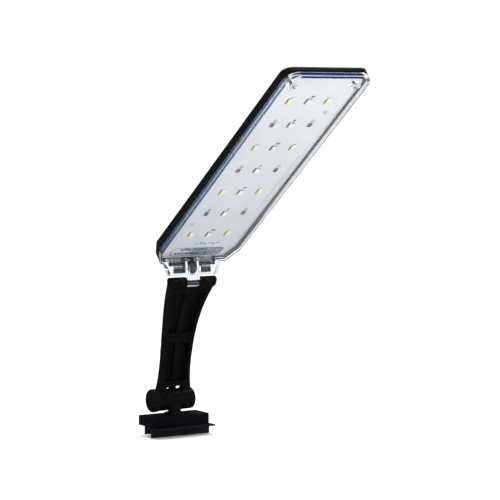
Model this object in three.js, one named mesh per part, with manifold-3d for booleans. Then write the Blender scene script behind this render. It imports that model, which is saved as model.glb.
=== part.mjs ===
// Clip-on LED picture light: a slotted foot that pushes over the edge of a panel, a swivelling
// hinge post, a curved channel arm and a flat lamp head with a clear cover.
//
// Millimetres, +Z up. The light faces -Y and X runs across it. Everything is drawn about the arm's
// lower hinge, and the last lines lift the whole lamp so that the origin is the middle of the
// ceiling of the panel slot, where the lamp rests on the panel that holds it.

import * as THREE from 'three';
import { mergeVertices } from 'three/addons/utils/BufferGeometryUtils.js';
import Module from 'manifold-3d';

const wasm = await Module();
wasm.setup();

// ---------------------------------------------------------------- driving dimensions

const GAP = 0.05; // gap between faces that meet

const FOOT = {
  halfLength: 21.5,
  front: -10.8,
  back: 6.2,
  top: -9.3,
  bottom: -15.8,
  edge: 0.6, // edge chamfer along the block
  boreRadius: 4.9,
  recessRadius: 5.2,
  recessTop: -12.6,
};

const CLIP = {
  ceiling: -17,
  flangeFront: -18.3,
  flangeRise: 0.2, // how much thinner the flange is at its front edge
  frontPlate: [-10.8, -9.4],
  frontPlateBottom: -22.2,
  backPlate: [-2.9, -1.5],
  backPlateBottom: -20.8,
  tongue: [7, 2.6], // half width and back edge of the tongue that closes the swivel's recess
};
const CLIP_SCREW = {
  x: 14,
  pilotRadius: 1.1,
  pilotTop: -12.6,
  sinkRadius: 2.1,
  sinkDepth: 0.6,
  headRadius: 1.9,
  headHeight: 0.55,
  shankRadius: 0.95,
  shankTop: -13,
};
const SLOT_Y = (CLIP.frontPlate[1] + CLIP.backPlate[0]) / 2;

const POST = {
  y: -3.2, // the swivel's axis stands a little in front of the hinge
  knuckleRadius: 7,
  knuckleHalf: 4.3,
  stemRadius: 4.1,
  stemTop: -3,
  collarRadius: 6.8,
  collarTop: -8,
  spigotRadius: 3.6,
  bushClearance: 0.1,
  screwBore: 1.6,
  screwBoreTop: -5,
};

const SWIVEL_WASHER = { innerRadius: 1.75, outerRadius: 4.8, thickness: 0.5 };
const SWIVEL_SCREW = { headRadius: 2.9, headHeight: 1.5, shankRadius: 1.45, shankTop: -5.8 };

const HINGE = {
  barrelRadius: 7,
  barrelInner: 4.9,
  barrelOuter: 12.3,
  boltRadius: 2,
  boltClearance: 0.15,
  boltSpan: [-14.7, 12.4],
  washerRadius: 6.4,
  washerThickness: 0.45,
};

const NUT = { radius: 3.8, span: [8.8, 12], pocketRadius: 4, pocketStart: 8.6 };
const CAP = { face: 14.3, radius: 6.9, faceRadius: 6.3, faceStep: 0.5, hollowRadius: 2.3, hollowDepth: 0.6 };

const KNOB = {
  face: -15.9,
  faceStep: 0.5,
  radius: 7.5,
  faceRadius: 6.85,
  dishRadius: 5,
  dishDepth: 0.45,
  socketDepth: 1.1,
  flutes: 18,
  fluteRadius: 0.55,
  fluteCircle: 7.75,
};

const ARM = {
  pinZ: 77.4, // height of the head's tilt pin above the lower hinge
  start: 1,
  lean: 0.16, // forward lean of the straight lower part
  curl: 12.5, // extra forward reach of the curved upper part
  depth: 5.4,
  web: 1.6,
  flange: 2.6,
  waist: 10.4, // half width at the waist
  flare: 6, // how much wider each side is at the top
  flareStart: 24,
  skirt: 3, // how fast each side widens down to the barrels
  skirtLimit: 1.8,
  skirtTop: 22,
  channelBottom: 12.6,
  channelTop: 71.5,
  bridge: [37.5, 44.5],
  bridgeStep: 0.5, // how far the bridge stands back from the flanges
  windowTop: 8.8,
  windows: [[-6.2, -3.4], [0.6, 6.2]],
  ribHalf: 1.9,
  ribStep: 1.9, // and how far the middle rib does
  knuckleClearance: 0.4,
  knuckleRadius: 3.6,
  notchHalf: 4.9,
  notchBottom: 74.5,
  pinRadius: 1.4,
  pinClearance: 0.12,
  pinInset: 0.6,
};

const HEAD = {
  rise: 37.2, // degrees from level to the head's long axis
  rowOne: [0, -46, 109.2], // the middle of the first row of LEDs, nearest the neck
  halfWidth: 29.6,
  far: 163,
  farRadius: 8.2,
  shoulder: -15.2, // where the near corners start to taper
  nearHalf: 24.2,
  near: -27.9,
  coverTop: 3.5,
  coverWall: 1.5,
  shellNear: -5.9, // depth of the shell at the neck
  shellFar: -5.2, // and just before its rounded far end
  shellWall: 1.8,
  shellFloor: 1.5,
  roundOff: 6, // length of the shell's rounded far end
  rim: 0.35, // half of the joint between shell and cover
  postRadius: 2.4,
};

const BOARD = { top: -1, thickness: 1.6, inset: 2, far: 157 };
const BOARD_BOTTOM = BOARD.top - BOARD.thickness;
const LEDS = { columnPitch: 13.4, rowPitch: 22.6, rows: 7, size: [3, 5.7, 0.9] };
const RESISTOR = [1.8, 4.2, 0.6];

// Upright plate of clear plastic between the cover and the tilt pin, with a tab round the pin.
const NECK = {
  top: 96,
  topHalf: 23.2,
  mid: 88.5,
  midHalf: 19.8,
  bottom: 82,
  bottomHalf: 17.2,
  halfDepth: 3.2,
  tabHalf: 4.4,
  tabRadius: 2.6,
};

// Dark tongue and two crossbars of the shell, let into the back of the neck.
const APRON = {
  front: 0.9, // behind the pin's axis
  bite: 0.25, // how deep it sits in the cover's near wall
  clearance: 0.15,
  tongueHalf: 3.4,
  tongueBottom: 82.7,
  bars: [
    { half: 17.2, bottom: 87.4, top: 89.8 },
    { half: 13.8, bottom: 83.6, top: 86.5 },
  ],
};

const BOARD_SCREW = {
  places: { near: [-17.7, 11], far: [18, 124.5] },
  holeRadius: 1,
  pilotRadius: 0.8,
  headRadius: 1.5,
  headHeight: 0.7,
  shankRadius: 0.65,
  tip: -3.6,
};

const COVER_SCREW = {
  x: 22,
  y: 152.6,
  holeRadius: 1.4,
  shellHoleRadius: 1.25,
  bossRadius: 3.1,
  pilotRadius: 1.05,
  sinkRadius: 2.4,
  sinkFloor: -3.7,
  head: [-4.5, -3.85],
  headRadius: 2.1,
  shank: [-4, 0.9],
  shankRadius: 0.95,
};

const GROMMET = {
  y: -8,
  flange: [-6.6, -5.95],
  flangeRadius: 3.6,
  body: [-6.2, -3.1],
  bodyRadius: 2.5,
  holeRadius: 2.6,
  boreRadius: 1.4,
};

const GASKET = { halfThickness: 0.22, outerInset: 0.35, innerInset: 1.6 };

// Posts inside the shell that carry the board, besides those at the screws.
const PLAIN_POSTS = [[-20, -8], [20, -8]];

const ACROSS = [-40, 40]; // wider than any part, for shapes that cut right across

// ---------------------------------------------------------------- materials

const plastic = (color, roughness) => new THREE.MeshStandardMaterial({ color, roughness, metalness: 0 });
const metal = (color, roughness) => new THREE.MeshStandardMaterial({ color, roughness, metalness: 1 });

const MATERIALS = {
  satinBlack: plastic(0x17171b, 0.42),
  mattBlack: plastic(0x26262c, 0.6),
  glossBlack: plastic(0x0d0d10, 0.2),
  clear: new THREE.MeshStandardMaterial({
    color: 0xdfeaf2, roughness: 0.05, metalness: 0, transparent: true, opacity: 0.35,
  }),
  board: plastic(0xe4eaee, 0.5),
  rubber: plastic(0x1b1b1b, 0.85),
  nylon: plastic(0xcfd0cc, 0.5),
  phosphor: plastic(0xe9dc8a, 0.35),
  clearLed: plastic(0xc9d3dc, 0.2),
  ceramic: plastic(0x2a2b30, 0.5),
  steel: metal(0xb9bcc0, 0.3),
};

// ---------------------------------------------------------------- solids and joins

function toSolid(geometry) {
  const bare = geometry.clone();
  bare.deleteAttribute('normal');
  bare.deleteAttribute('uv');
  const merged = mergeVertices(bare, 1e-5);
  return new wasm.Manifold(new wasm.Mesh({
    numProp: 3,
    vertProperties: new Float32Array(merged.attributes.position.array),
    triVerts: new Uint32Array(merged.index.array),
  }));
}

function toGeometry(solid) {
  const mesh = solid.getMesh();
  const geometry = new THREE.BufferGeometry();
  geometry.setAttribute('position', new THREE.BufferAttribute(new Float32Array(mesh.vertProperties), 3));
  geometry.setIndex(new THREE.BufferAttribute(new Uint32Array(mesh.triVerts), 1));
  geometry.computeVertexNormals();
  return geometry;
}

const add = (sum, geometry) => sum.add(toSolid(geometry));
const join = (first, ...others) => others.reduce(add, toSolid(first));
const cut = (solid, ...tools) => tools.reduce((rest, geometry) => rest.subtract(toSolid(geometry)), solid);
const common = (first, second) => toSolid(first).intersect(toSolid(second));

// ---------------------------------------------------------------- plain shapes

function block([x0, x1], [y0, y1], [z0, z1]) {
  const geometry = new THREE.BoxGeometry(x1 - x0, y1 - y0, z1 - z0);
  return geometry.translate((x0 + x1) / 2, (y0 + y1) / 2, (z0 + z1) / 2);
}

function rodX(radius, [x0, x1], y = 0, z = 0, sides = 32) {
  const geometry = new THREE.CylinderGeometry(radius, radius, x1 - x0, sides);
  return geometry.rotateZ(Math.PI / 2).translate((x0 + x1) / 2, y, z);
}

function rodZ(radius, [z0, z1], x = 0, y = 0, sides = 32, topRadius = radius) {
  const geometry = new THREE.CylinderGeometry(topRadius, radius, z1 - z0, sides);
  return geometry.rotateX(Math.PI / 2).translate(x, y, (z0 + z1) / 2);
}

function ringZ(inner, outer, [z0, z1], x = 0, y = 0, sides = 32) {
  return toGeometry(cut(toSolid(rodZ(outer, [z0, z1], x, y, sides)),
    rodZ(inner, [z0 - 1, z1 + 1], x, y, sides)));
}

function ringX(inner, outer, [x0, x1], sides = 32) {
  return toGeometry(cut(toSolid(rodX(outer, [x0, x1], 0, 0, sides)),
    rodX(inner, [x0 - 1, x1 + 1], 0, 0, sides)));
}

const shapeOf = (points) => new THREE.Shape(points.map(([a, b]) => new THREE.Vector2(a, b)));

// An outline drawn in (y, z) and carried along x, in (x, z) along y, or in (x, y) along z.
function slabX(points, [x0, x1]) {
  const geometry = new THREE.ExtrudeGeometry(shapeOf(points), { depth: x1 - x0, bevelEnabled: false });
  const turn = new THREE.Matrix4().makeBasis(
    new THREE.Vector3(0, 1, 0), new THREE.Vector3(0, 0, 1), new THREE.Vector3(1, 0, 0));
  return geometry.applyMatrix4(turn).translate(x0, 0, 0);
}

function slabY(points, [y0, y1]) {
  const geometry = new THREE.ExtrudeGeometry(shapeOf(points), { depth: y1 - y0, bevelEnabled: false });
  return geometry.rotateX(Math.PI / 2).translate(0, y1, 0);
}

function slabZ(points, [z0, z1]) {
  const geometry = new THREE.ExtrudeGeometry(shapeOf(points), { depth: z1 - z0, bevelEnabled: false });
  return geometry.translate(0, 0, z0);
}

function steps(from, to, count) {
  return Array.from({ length: count + 1 }, (_, i) => from + ((to - from) * i) / count);
}

function piece(name, geometry, material) {
  const mesh = new THREE.Mesh(geometry, material);
  mesh.name = name;
  return mesh;
}

// ---------------------------------------------------------------- foot, clip and swivel

function footBlock() {
  const { halfLength, front, back, top, bottom, edge } = FOOT;
  const section = [
    [front, bottom], [back, bottom], [back, top - edge], [back - edge, top], [front + edge, top],
    [front, top - edge],
  ];
  const body = cut(toSolid(slabX(section, [-halfLength, halfLength])),
    rodZ(FOOT.boreRadius, [bottom - 1, top + 1], 0, POST.y),
    rodZ(FOOT.recessRadius, [bottom - 1, FOOT.recessTop], 0, POST.y),
    ...[-1, 1].map((side) => (
      rodZ(CLIP_SCREW.pilotRadius, [bottom - 1, CLIP_SCREW.pilotTop], side * CLIP_SCREW.x, SLOT_Y, 16))));
  return piece('foot_block', toGeometry(body), MATERIALS.mattBlack);
}

// The clip's top plate runs forward as a flange and carries the two plates that grip the panel.
function panelClip() {
  const top = FOOT.bottom - GAP;
  const { ceiling, flangeFront, flangeRise, frontPlate, backPlate } = CLIP;
  const { x, pilotRadius, sinkRadius, sinkDepth } = CLIP_SCREW;
  const section = [
    [flangeFront, ceiling + flangeRise], [frontPlate[0], ceiling], [frontPlate[0], CLIP.frontPlateBottom],
    [frontPlate[1], CLIP.frontPlateBottom], [frontPlate[1], ceiling], [backPlate[0], ceiling],
    [backPlate[0], CLIP.backPlateBottom], [backPlate[1], CLIP.backPlateBottom], [backPlate[1], top],
    [flangeFront, top],
  ];
  const screwHoles = [-1, 1].flatMap((side) => [
    rodZ(pilotRadius, [ceiling - 1, top + 1], side * x, SLOT_Y, 16),
    rodZ(sinkRadius, [ceiling - 1, ceiling + sinkDepth], side * x, SLOT_Y, 16),
  ]);
  const [tongueHalf, tongueBack] = CLIP.tongue;
  const tongue = block([-tongueHalf, tongueHalf], [backPlate[0], tongueBack], [ceiling, top]);
  const body = cut(join(slabX(section, [-FOOT.halfLength, FOOT.halfLength]), tongue), ...screwHoles);
  return piece('panel_clip', toGeometry(body), MATERIALS.mattBlack);
}

function clipScrew(side, name) {
  const { x, headRadius, headHeight, shankRadius, shankTop } = CLIP_SCREW;
  const head = rodZ(headRadius, [CLIP.ceiling, CLIP.ceiling + headHeight], side * x, SLOT_Y, 16);
  const shank = rodZ(shankRadius, [CLIP.ceiling + headHeight / 2, shankTop], side * x, SLOT_Y, 16);
  return piece(name, toGeometry(join(head, shank)), MATERIALS.steel);
}

function swivelBush() {
  const { spigotRadius, bushClearance, y } = POST;
  const span = [FOOT.recessTop, FOOT.top - GAP];
  const geometry = ringZ(spigotRadius + bushClearance, FOOT.boreRadius - bushClearance, span, 0, y);
  return piece('swivel_bush', geometry, MATERIALS.nylon);
}

// Hinge post: a round knuckle for the arm on a short stem, a collar that turns on the foot and a
// spigot that runs in the bush.
function swivelPost() {
  const body = cut(join(
    rodX(POST.knuckleRadius, [-POST.knuckleHalf, POST.knuckleHalf], 0, 0, 40),
    rodZ(POST.stemRadius, [FOOT.top + GAP, POST.stemTop], 0, POST.y),
    rodZ(POST.collarRadius, [FOOT.top + GAP, POST.collarTop], 0, POST.y, 40),
    rodZ(POST.spigotRadius, [FOOT.recessTop - GAP, POST.collarTop], 0, POST.y),
  ),
  rodX(HINGE.boltRadius + HINGE.boltClearance, ACROSS, 0, 0, 24),
  rodZ(POST.screwBore, [FOOT.recessTop - 1, POST.screwBoreTop], 0, POST.y, 20));
  return piece('swivel_post', toGeometry(body), MATERIALS.glossBlack);
}

function swivelWasher() {
  const { innerRadius, outerRadius, thickness } = SWIVEL_WASHER;
  const top = FOOT.recessTop - 2 * GAP;
  const geometry = ringZ(innerRadius, outerRadius, [top - thickness, top], 0, POST.y);
  return piece('swivel_washer', geometry, MATERIALS.steel);
}

function swivelScrew() {
  const { headRadius, headHeight, shankRadius, shankTop } = SWIVEL_SCREW;
  const seat = FOOT.recessTop - SWIVEL_WASHER.thickness - 3 * GAP;
  const body = join(
    rodZ(headRadius, [seat - headHeight, seat], 0, POST.y, 24),
    rodZ(shankRadius, [seat - headHeight / 2, shankTop], 0, POST.y, 20));
  return piece('swivel_screw', toGeometry(body), MATERIALS.steel);
}

// ---------------------------------------------------------------- arm and its hinge

const armCentre = (z) => -ARM.lean * z - ARM.curl * (z / ARM.pinZ) ** 4;
const armSlope = (z) => -ARM.lean - (4 * ARM.curl / ARM.pinZ) * (z / ARM.pinZ) ** 3;

function armHalfWidth(z) {
  const rise = Math.max(0, z - ARM.flareStart) / (ARM.pinZ - ARM.flareStart);
  const drop = Math.max(0, ARM.skirtTop - z) / ARM.skirtTop;
  return ARM.waist + ARM.flare * rise ** 2 + Math.min(ARM.skirtLimit, ARM.skirt * drop ** 2);
}

// A point beside the arm's centre line in its side view, square to that line.
function besideArm(z, offset) {
  const length = Math.hypot(1, armSlope(z));
  return [armCentre(z) + offset / length, z - (offset * armSlope(z)) / length];
}

function armSideSlab(from, to, front, back, halfWidth) {
  const heights = steps(from, to, 16);
  const outline = [
    ...heights.map((z) => besideArm(z, back)),
    ...heights.toReversed().map((z) => besideArm(z, front)),
  ];
  return slabX(outline, [-halfWidth, halfWidth]);
}

function armFrontSlab(from, to, inset) {
  const heights = steps(from, to, 16);
  const outline = [
    ...heights.map((z) => [armHalfWidth(z) - inset, z]),
    ...heights.toReversed().map((z) => [inset - armHalfWidth(z), z]),
  ];
  return slabY(outline, [2 * ACROSS[0], ACROSS[1]]);
}

function armChannel() {
  const half = ARM.depth / 2;
  const pinY = armCentre(ARM.pinZ);
  const reach = ACROSS[1];
  const outline = armFrontSlab(0, ARM.pinZ + ARM.knuckleRadius, 0);
  const blank = common(armSideSlab(ARM.start, ARM.pinZ, -half, half, reach), outline);
  const hollow = common(
    armSideSlab(ARM.channelBottom, ARM.channelTop, -half - 3, half - ARM.web, reach),
    armFrontSlab(ARM.channelBottom - 4, ARM.channelTop + 4, ARM.flange));
  const kept = [
    armSideSlab(...ARM.bridge, -half + ARM.bridgeStep, half, ARM.waist),
    armSideSlab(ARM.windowTop, ARM.channelTop, -half + ARM.ribStep, half, ARM.ribHalf),
  ].map((geometry) => toSolid(geometry));
  let body = kept.reduce((sum, solid) => sum.add(solid), blank.subtract(hollow));
  const betweenBarrels = [-HINGE.barrelInner, HINGE.barrelInner];
  body = cut(body,
    rodX(POST.knuckleRadius + ARM.knuckleClearance, betweenBarrels, 0, 0, 40),
    block(betweenBarrels, ACROSS, [-20, 4]),
    ...ARM.windows.map((window) => block(window, ACROSS, [0, ARM.windowTop])));
  for (const side of [-1, 1]) {
    const barrel = [side * HINGE.barrelInner, side * HINGE.barrelOuter].sort((a, b) => a - b);
    body = body.add(toSolid(rodX(HINGE.barrelRadius, barrel, 0, 0, 40)));
  }
  body = body.add(common(rodX(ARM.knuckleRadius, ACROSS, pinY, ARM.pinZ, 28), outline));
  body = cut(body,
    rodX(HINGE.boltRadius + HINGE.boltClearance, ACROSS, 0, 0, 24),
    rodX(NUT.pocketRadius, [NUT.pocketStart, reach], 0, 0, 6),
    rodX(ARM.pinRadius + ARM.pinClearance, ACROSS, pinY, ARM.pinZ, 20),
    block([-ARM.notchHalf, ARM.notchHalf], ACROSS, [ARM.notchBottom, ARM.pinZ + reach]));
  return piece('arm_channel', toGeometry(body), MATERIALS.satinBlack);
}

function hingeWasher(side, name) {
  const near = side * (POST.knuckleHalf + GAP);
  const far = near + side * HINGE.washerThickness;
  const span = [near, far].sort((a, b) => a - b);
  const bore = HINGE.boltRadius + HINGE.boltClearance;
  return piece(name, ringX(bore, HINGE.washerRadius, span), MATERIALS.nylon);
}

function clampBolt() {
  return piece('clamp_bolt', rodX(HINGE.boltRadius, HINGE.boltSpan, 0, 0, 24), MATERIALS.steel);
}

// Round clamp knob with a dished face and a fluted rim, moulded over the end of the bolt.
function clampKnob() {
  const { face, faceStep, fluteCircle, fluteRadius } = KNOB;
  const back = -HINGE.barrelOuter - 2 * GAP;
  const flutes = steps(0, 2 * Math.PI, KNOB.flutes).slice(1).map((turn) => (
    rodX(fluteRadius, [face - 1, back + 1], fluteCircle * Math.cos(turn), fluteCircle * Math.sin(turn), 8)));
  const blank = join(
    rodX(KNOB.radius, [face + faceStep, back], 0, 0, 48),
    rodX(KNOB.faceRadius, [face, face + 2 * faceStep], 0, 0, 48));
  const body = cut(blank,
    rodX(KNOB.dishRadius, [face - 1, face + KNOB.dishDepth], 0, 0, 32),
    rodX(HINGE.boltRadius + 2 * GAP, [face + KNOB.socketDepth, back + 1], 0, 0, 24), ...flutes);
  return piece('clamp_knob', toGeometry(body), MATERIALS.satinBlack);
}

function clampNut() {
  const body = cut(toSolid(rodX(NUT.radius, NUT.span, 0, 0, 6)),
    rodX(HINGE.boltRadius + 2 * GAP, ACROSS, 0, 0, 24));
  return piece('clamp_nut', toGeometry(body), MATERIALS.steel);
}

function hingeCap() {
  const start = HINGE.barrelOuter + GAP;
  const body = join(
    rodX(CAP.radius, [start, CAP.face - CAP.faceStep], 0, 0, 40),
    rodX(CAP.faceRadius, [start, CAP.face], 0, 0, 40));
  const hollow = rodX(CAP.hollowRadius, [start - 1, start + CAP.hollowDepth], 0, 0, 24);
  return piece('hinge_cap', toGeometry(cut(body, hollow)), MATERIALS.satinBlack);
}

function tiltPin() {
  const reach = armHalfWidth(ARM.pinZ) - ARM.pinInset;
  const geometry = rodX(ARM.pinRadius, [-reach, reach], armCentre(ARM.pinZ), ARM.pinZ, 20);
  return piece('tilt_pin', geometry, MATERIALS.steel);
}

// ---------------------------------------------------------------- lamp head
//
// Head frame: x across, y along the head from the first row of LEDs, z out of its lit face.

const headFrame = new THREE.Matrix4()
  .makeTranslation(...HEAD.rowOne)
  .multiply(new THREE.Matrix4().makeRotationX(THREE.MathUtils.degToRad(180 - HEAD.rise)));

function headOutline(inset) {
  const { halfWidth, far, farRadius, shoulder, nearHalf, near } = HEAD;
  const half = halfWidth - inset;
  const radius = farRadius - inset;
  const corner = steps(0, Math.PI / 2, 6).map((turn) => [
    half - radius + radius * Math.cos(turn), far - inset - radius + radius * Math.sin(turn),
  ]);
  const right = [[nearHalf - inset, near + inset], [half, shoulder + inset * 0.4], ...corner];
  return [...right, ...right.toReversed().map(([x, y]) => [-x, y])];
}

// The shell's depth falls slowly along the head and rounds off at the far end.
function shellSide(lift, top) {
  const { near, far, shellNear, shellFar, roundOff } = HEAD;
  const end = steps(0, Math.PI / 2, 5).map((turn) => [
    far - roundOff + (roundOff + 1) * Math.sin(turn),
    BOARD.top + lift + (shellFar - BOARD.top) * Math.cos(turn),
  ]);
  return [[near - 1, shellNear + lift], ...end, [far + 1, top], [near - 1, top]];
}

// The tongue and the crossbars, drawn upright and carried into the head's frame, each wider by grow.
function apronParts(grow) {
  const pinY = armCentre(ARM.pinZ);
  const depth = [pinY + APRON.front - grow, pinY + NECK.halfDepth + 2 * grow];
  const half = APRON.tongueHalf + grow;
  const tongueCentre = APRON.tongueBottom + APRON.tongueHalf;
  const roundEnd = steps(Math.PI, 2 * Math.PI, 12).map((turn) => (
    [half * Math.cos(turn), tongueCentre + half * Math.sin(turn)]));
  const tongue = slabY([...roundEnd, [half, NECK.top + 4], [-half, NECK.top + 4]], depth);
  const bars = APRON.bars.map((bar) => (
    block([-bar.half - grow, bar.half + grow], depth, [bar.bottom - grow, bar.top + grow])));
  const toHead = headFrame.clone().invert();
  return [tongue, ...bars].map((geometry) => geometry.applyMatrix4(toHead));
}

function shellApron() {
  const { near, rim, shellWall, shellNear } = HEAD;
  const behindJoint = toSolid(block(ACROSS, [near - 30, near + shellWall / 2], [shellNear, -rim]));
  const beforeJoint = toSolid(block(ACROSS, [near - 30, near + APRON.bite], [-2 * rim, 30]));
  return join(...apronParts(0)).intersect(behindJoint.add(beforeJoint));
}

function backShell() {
  const { rim, shellWall, shellFloor, postRadius } = HEAD;
  const screw = COVER_SCREW;
  const bossPlaces = [[-screw.x, screw.y], [screw.x, screw.y]];
  const boardPlaces = Object.values(BOARD_SCREW.places);
  const outer = common(slabZ(headOutline(0), [-12, -rim]), slabX(shellSide(0, 5), ACROSS));
  const inner = common(slabZ(headOutline(shellWall), [-12, 5]), slabX(shellSide(shellFloor, 9), ACROSS));
  let body = outer.subtract(inner);
  for (const [x, y] of [...boardPlaces, ...bossPlaces, ...PLAIN_POSTS]) {
    body = body.add(toSolid(rodZ(postRadius, [-12, BOARD_BOTTOM - 2 * GAP], x, y, 20)).intersect(outer));
  }
  body = cut(body,
    ...bossPlaces.map(([x, y]) => rodZ(screw.shellHoleRadius, [-8, 0], x, y, 16)),
    ...bossPlaces.map(([x, y]) => rodZ(screw.sinkRadius, [-12, screw.sinkFloor], x, y, 16)),
    ...boardPlaces.map(([x, y]) => rodZ(BOARD_SCREW.pilotRadius, [BOARD_SCREW.tip - 0.3, 0], x, y, 12)),
    rodZ(GROMMET.holeRadius, [-9, 0], 0, GROMMET.y, 24));
  return piece('back_shell', toGeometry(body.add(shellApron())), MATERIALS.satinBlack);
}

// The clear cover and the neck are one moulding. The neck is drawn upright in the lamp's frame,
// cleared of the shell and the arm, and carried into the head's frame.
function clearCover() {
  const { rim, coverTop, coverWall, near } = HEAD;
  const screw = COVER_SCREW;
  const cup = cut(toSolid(slabZ(headOutline(0), [rim, coverTop])),
    slabZ(headOutline(coverWall), [rim - 1, coverTop - coverWall]));
  const bosses = [-1, 1].map((side) => (
    rodZ(screw.bossRadius, [BOARD.top + 3 * GAP, coverTop - coverWall / 2], side * screw.x, screw.y, 24)));
  const pilots = [-1, 1].map((side) => (
    rodZ(screw.pilotRadius, [BOARD.top - 1, screw.shank[1] + 0.4], side * screw.x, screw.y, 16)));
  const pinY = armCentre(ARM.pinZ);
  const plate = slabY([
    [-NECK.bottomHalf, NECK.bottom], [NECK.bottomHalf, NECK.bottom], [NECK.midHalf, NECK.mid],
    [NECK.topHalf, NECK.top], [-NECK.topHalf, NECK.top], [-NECK.midHalf, NECK.mid],
  ], [pinY - NECK.halfDepth, pinY + NECK.halfDepth]);
  const toHead = headFrame.clone().invert();
  const tabSpan = [-NECK.tabHalf, NECK.tabHalf];
  const neck = [
    plate,
    block(tabSpan, [pinY - NECK.tabRadius, pinY + NECK.tabRadius], [ARM.pinZ, NECK.bottom + 1]),
    rodX(NECK.tabRadius, tabSpan, pinY, ARM.pinZ, 24),
  ].map((geometry) => geometry.applyMatrix4(toHead));
  const shellRoom = block(ACROSS, [near - 0.4, 60], [-20, rim]);
  const litFace = block(ACROSS, [near + 0.3, 60], [coverTop - 0.3, 30]);
  const cavity = slabZ(headOutline(coverWall), [-9, coverTop - coverWall]);
  const neckSolid = cut(join(...neck), shellRoom, litFace, cavity);
  const apronReach = block(ACROSS, [near - 30, near + APRON.bite + APRON.clearance], [-20, 30]);
  const apronRoom = join(...apronParts(APRON.clearance)).intersect(toSolid(apronReach));
  const bore = rodX(ARM.pinRadius + ARM.pinClearance, ACROSS, pinY, ARM.pinZ, 20).applyMatrix4(toHead);
  const moulding = cup.add(neckSolid).subtract(apronRoom);
  const body = bosses.reduce((sum, boss) => sum.add(toSolid(boss)), moulding);
  return piece('clear_cover', toGeometry(cut(body, bore, ...pilots)), MATERIALS.clear);
}

function sealGasket() {
  const { halfThickness, outerInset, innerInset } = GASKET;
  const body = cut(toSolid(slabZ(headOutline(outerInset), [-halfThickness, halfThickness])),
    slabZ(headOutline(innerInset), [-1, 1]));
  return piece('seal_gasket', toGeometry(body), MATERIALS.rubber);
}

function ledBoard() {
  const drilled = [BOARD_BOTTOM - 1, 0];
  const body = cut(toSolid(slabZ(headOutline(BOARD.inset), [BOARD_BOTTOM, BOARD.top])),
    ...[-1, 1].map((side) => rodZ(COVER_SCREW.holeRadius, drilled, side * COVER_SCREW.x, COVER_SCREW.y, 16)),
    ...Object.values(BOARD_SCREW.places).map(([x, y]) => rodZ(BOARD_SCREW.holeRadius, drilled, x, y, 12)),
    block(ACROSS, [BOARD.far, HEAD.far], drilled));
  return piece('led_board', toGeometry(body), MATERIALS.board);
}

function boardScrew(end) {
  const { places, headRadius, headHeight, shankRadius, tip } = BOARD_SCREW;
  const [x, y] = places[end];
  const seat = BOARD.top + 2 * GAP;
  const head = rodZ(headRadius, [seat, seat + headHeight], x, y, 16);
  const shank = rodZ(shankRadius, [tip, seat + headHeight / 2], x, y, 12);
  return piece(`board_screw_${end}`, toGeometry(join(head, shank)), MATERIALS.steel);
}

function coverScrew(side, name) {
  const { headRadius, head, shankRadius, shank, x, y } = COVER_SCREW;
  const body = join(rodZ(headRadius, head, side * x, y, 16), rodZ(shankRadius, shank, side * x, y, 12));
  return piece(name, toGeometry(body), MATERIALS.steel);
}

function leadGrommet() {
  const { y, flange, flangeRadius, body, bodyRadius, boreRadius } = GROMMET;
  const outer = join(rodZ(flangeRadius, flange, 0, y, 24), rodZ(bodyRadius, body, 0, y, 24));
  return piece('lead_grommet', toGeometry(cut(outer, rodZ(boreRadius, [-9, 0], 0, y, 16))), MATERIALS.rubber);
}

function boardChip(name, column, row, [width, length, height], material) {
  const mesh = piece(name, new THREE.BoxGeometry(width, length, height), material);
  mesh.position.set(column * LEDS.columnPitch, row * LEDS.rowPitch, BOARD.top + GAP + height / 2);
  return mesh;
}

// Odd rows from the neck carry a white LED on each side, even rows a resistor, and every row has a
// clear LED in the middle.
function boardChips() {
  const chips = [];
  for (let row = 0; row < LEDS.rows; row += 1) {
    chips.push(boardChip(`clear_led_${row + 1}`, 0, row, LEDS.size, MATERIALS.clearLed));
    for (const [column, side] of [[-1, 'left'], [1, 'right']]) {
      if (row % 2 === 0) {
        chips.push(boardChip(`white_led_${row + 1}_${side}`, column, row, LEDS.size, MATERIALS.phosphor));
      } else {
        chips.push(boardChip(`resistor_${row + 1}_${side}`, column, row, RESISTOR, MATERIALS.ceramic));
      }
    }
  }
  return chips;
}

// ---------------------------------------------------------------- assembly

const head = new THREE.Group();
head.add(
  backShell(), clearCover(), sealGasket(), ledBoard(), boardScrew('near'), boardScrew('far'),
  coverScrew(-1, 'cover_screw_left'), coverScrew(1, 'cover_screw_right'), leadGrommet(), ...boardChips(),
);
head.applyMatrix4(headFrame);

const group = new THREE.Group();
group.add(
  footBlock(), panelClip(), clipScrew(-1, 'clip_screw_left'), clipScrew(1, 'clip_screw_right'), swivelBush(),
  swivelPost(), swivelWasher(), swivelScrew(),
  armChannel(), hingeWasher(-1, 'hinge_washer_left'), hingeWasher(1, 'hinge_washer_right'),
  clampNut(), hingeCap(), tiltPin(), clampBolt(), clampKnob(), head,
);
group.position.set(0, -SLOT_Y, -CLIP.ceiling);

export default group;
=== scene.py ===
# Looks of a clip-on LED picture light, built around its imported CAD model.
#
# Shapes are drawn in millimetres in one of two local frames and carried into the row frame:
# HINGE has its origin on the axis of the arm's lower hinge, and HEAD has x across the lamp head,
# y along it from the first row of LEDs, and z out of its lit face.

import math

import bmesh
import bpy
from mathutils import Matrix, Vector


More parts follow.
